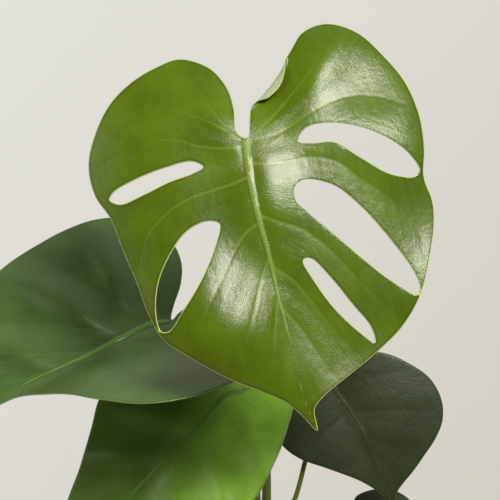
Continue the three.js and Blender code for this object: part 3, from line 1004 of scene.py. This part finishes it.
class MONSTERA_OT_stem(bpy.types.Operator):
    """Grow the short main stem"""

    bl_idname = "monstera.stem"
    bl_label = "Stem"

    def execute(self, context):
        levels, widths = zip(*STEM_PROFILE)
        heights = np.arange(levels[0], levels[-1] + 0.1, 1.0)
        radius = np.interp(heights, levels, widths)
        radius = radius + 0.35 * np.abs(np.sin(heights / 4.2)) - 0.4
        route = np.stack([0 * heights, 0 * heights, heights], 1)
        bm = bmesh.new()
        sweep(bm, route * MM, radius * MM, 40)
        add_piece(bm, "living_main_stem", [stem_skin(context.scene.monstera_colours)],
                  ["main_stem"])
        return {"FINISHED"}


class MONSTERA_OT_soil(bpy.types.Operator):
    """Fill the pot with soil, bark chips and perlite"""

    bl_idname = "monstera.soil"
    bl_label = "Soil"

    def execute(self, context):
        sizes, colours = context.scene.monstera_sizes, context.scene.monstera_colours
        bm = bmesh.new()
        top = [(min(r, SOIL_RADIUS), 130) for r in np.arange(0, SOIL_RADIUS + 0.3, 1.5)]
        turned(bm, top + [(72.6, 120), (70.3, SOIL_BOTTOM), (0, SOIL_BOTTOM)], 144)
        for v in bm.verts:
            if v.co.z > 125 * MM:
                v.co.z = ground_height(v.co.x / MM, v.co.y / MM) * MM
        bmesh.ops.recalc_face_normals(bm, faces=bm.faces)
        dice = random.Random(7)
        scatter(bm, sizes.chips, dice, lambda d: bark_chip(bm, d), 1)
        scatter(bm, sizes.grit, dice, lambda d: perlite_grain(bm, d), 2)
        add_piece(bm, "living_potting_soil", soil_finishes(colours), ["potting_soil"])
        return {"FINISHED"}


class MONSTERA_OT_pot(bpy.types.Operator):
    """Turn the stoneware pot, with its three drain holes"""

    bl_idname = "monstera.pot"
    bl_label = "Pot"

    def execute(self, context):
        sizes, colours = context.scene.monstera_sizes, context.scene.monstera_colours
        bm = bmesh.new()
        turned(bm, POT_PROFILE, 160)
        bmesh.ops.recalc_face_normals(bm, faces=bm.faces)
        pot = add_piece(bm, "turned_pot", [speckled_glaze(colours)], ["pot"])
        drill = bmesh.new()
        for k in range(3):
            turn = math.radians(90 + 120 * k)
            hole = bmesh.ops.create_cone(
                drill, cap_ends=True, segments=32, radius1=DRAIN_RADIUS * MM,
                radius2=DRAIN_RADIUS * MM, depth=30 * MM)
            middle = Vector((math.cos(turn), math.sin(turn), 0)) * DRAIN_CIRCLE * MM
            bmesh.ops.translate(drill, verts=hole["verts"], vec=middle)
        tool_mesh = bpy.data.meshes.new("drain_drill")
        drill.to_mesh(tool_mesh)
        drill.free()
        tool = bpy.data.objects.new("drain_drill", tool_mesh)
        context.scene.collection.objects.link(tool)
        cut = pot.modifiers.new("Drain holes", "BOOLEAN")
        cut.object = tool
        cut.solver = "EXACT"
        bend = pot.modifiers.new("Soft edges", "BEVEL")
        bend.width = sizes.pot_edge
        bend.segments = 3
        bend.limit_method = "ANGLE"
        bend.angle_limit = math.radians(28)
        context.view_layer.update()
        done = bpy.data.meshes.new_from_object(
            pot.evaluated_get(context.evaluated_depsgraph_get()))
        pot.modifiers.clear()
        pot.data = done
        done.name = "turned_pot"
        bpy.data.objects.remove(tool)
        return {"FINISHED"}


class MONSTERA_OT_stage(bpy.types.Operator):
    """Set the floor, the soft studio light and the camera"""

    bl_idname = "monstera.stage"
    bl_label = "Stage"

    def execute(self, context):
        scene = context.scene
        colours = scene.monstera_colours
        bm = bmesh.new()
        bmesh.ops.create_circle(bm, cap_ends=True, segments=96, radius=0.68)
        mesh = bpy.data.meshes.new("pale_floor")
        bm.to_mesh(mesh)
        bm.free()
        floor = bpy.data.objects.new("pale_floor", mesh)
        scene.collection.objects.link(floor)
        # matte paint, which fades out before the floor ends so that no edge shows
        material, tree, place = new_material("pale_floor")
        away = add(tree, "VectorMath", {0: place}, operation="LENGTH")
        grain = add(tree, "TexNoise", {"Vector": place, "Scale": 60.0})
        base = add(tree, "Mix",
                   {0: grain, 6: rgba(colours.floor, 0.95), 7: rgba(colours.floor, 1.0)},
                   data_type="RGBA").outputs[2]
        shown = add(tree, "MapRange", {0: away.outputs["Value"], 1: 0.3, 2: 0.66},
                    interpolation_type="SMOOTHSTEP")
        matte = add(tree, "BsdfPrincipled", {"Base Color": base, "Roughness": 0.8})
        clear = add(tree, "BsdfTransparent")
        both = add(tree, "MixShader",
                   {0: shown, 1: matte, 2: clear})
        add(tree, "OutputMaterial", {"Surface": both})
        mesh.materials.append(material)

        world = bpy.data.worlds.new("studio")
        scene.world = world
        world.use_nodes = True
        tree = world.node_tree
        tree.nodes.clear()
        facing = add(tree, "TexCoord").outputs["Generated"]
        slope = add(tree, "VectorMath", {0: facing, 1: (-0.32, 0.0, 0.3)},
                    operation="DOT_PRODUCT")
        share = add(tree, "MapRange", {0: slope.outputs["Value"], 1: -0.13, 2: 0.08})
        tone = add(tree, "Mix",
                   {0: share, 6: linear("d4d0c5"), 7: linear("e4e3dc")},
                   data_type="RGBA").outputs[2]
        seen = add(tree, "Background", {"Color": tone, "Strength": 1.0})
        # the room in front of the plant is darker than the lit wall behind it
        depth = add(tree, "SeparateXYZ", {0: facing})
        room = add(tree, "MapRange",
                   {0: depth.outputs[1], 1: -0.35, 2: 0.25, 3: 0.14, 4: 0.9},
                   interpolation_type="SMOOTHSTEP")
        lit = add(tree, "Background",
                  {"Color": linear("e8e4db"), "Strength": room})
        ray = add(tree, "LightPath")
        both = add(tree, "MixShader", {
            0: ray.outputs["Is Camera Ray"], 1: lit, 2: seen})
        add(tree, "OutputWorld", {"Surface": both})

        target = Vector((-5, -70, 395)) * MM
        lamps = {
            "softbox": ((0.60, -1.05, 1.45), 0.65, 32.5, "fffaf2"),
            "fill": ((-1.25, -0.6, 1.0), 1.0, 5.5, "fff8f0"),
        }
        for name, (place, size, power, colour) in lamps.items():
            lamp = bpy.data.lights.new(name, "AREA")
            lamp.shape = "SQUARE"
            lamp.size = size
            lamp.energy = power
            lamp.color = linear(colour)[:3]
            light = bpy.data.objects.new(name, lamp)
            light.location = place
            light.rotation_mode = "QUATERNION"
            light.rotation_quaternion = (target - Vector(place)).to_track_quat("-Z", "Y")
            light.visible_camera = False
            scene.collection.objects.link(light)

        lens = bpy.data.cameras.new("camera")
        lens.lens = 100
        lens.sensor_width = 36
        lens.clip_start, lens.clip_end = 0.05, 20
        camera = bpy.data.objects.new("camera", lens)
        camera.location = Vector((-5, -990.9, 491.8)) * MM
        camera.rotation_mode = "QUATERNION"
        camera.rotation_quaternion = (target - camera.location).to_track_quat("-Z", "Y")
        scene.collection.objects.link(camera)
        scene.camera = camera
        scene.view_settings.view_transform = "Standard"
        return {"FINISHED"}


class MONSTERA_PT_panel(bpy.types.Panel):
    """Lists the plant's pieces, sizes and colours"""

    bl_label = "Potted monstera"
    bl_idname = "MONSTERA_PT_panel"
    bl_space_type = "VIEW_3D"
    bl_region_type = "UI"
    bl_category = "Monstera"

    def draw(self, context):
        column = self.layout.column()
        for operator in OPERATORS:
            column.operator(operator.bl_idname)
        for group in (context.scene.monstera_sizes, context.scene.monstera_colours):
            for key in group.__annotations__:
                column.prop(group, key)


OPERATORS = (
    MONSTERA_OT_pot, MONSTERA_OT_soil, MONSTERA_OT_stem, MONSTERA_OT_stalks,
    MONSTERA_OT_leaves, MONSTERA_OT_stage)
CLASSES = (MonsteraSizes, MonsteraColours, *OPERATORS, MONSTERA_PT_panel)


def register():
    for kind in CLASSES:
        bpy.utils.register_class(kind)
    bpy.types.Scene.monstera_sizes = PointerProperty(type=MonsteraSizes)
    bpy.types.Scene.monstera_colours = PointerProperty(type=MonsteraColours)


def unregister():
    del bpy.types.Scene.monstera_colours
    del bpy.types.Scene.monstera_sizes
    for kind in reversed(CLASSES):
        bpy.utils.unregister_class(kind)


def main():
    register()
    bpy.ops.monstera.pot()
    bpy.ops.monstera.soil()
    bpy.ops.monstera.stem()
    bpy.ops.monstera.stalks()
    bpy.ops.monstera.leaves()
    bpy.ops.monstera.stage()


if __name__ == "__main__":
    main()
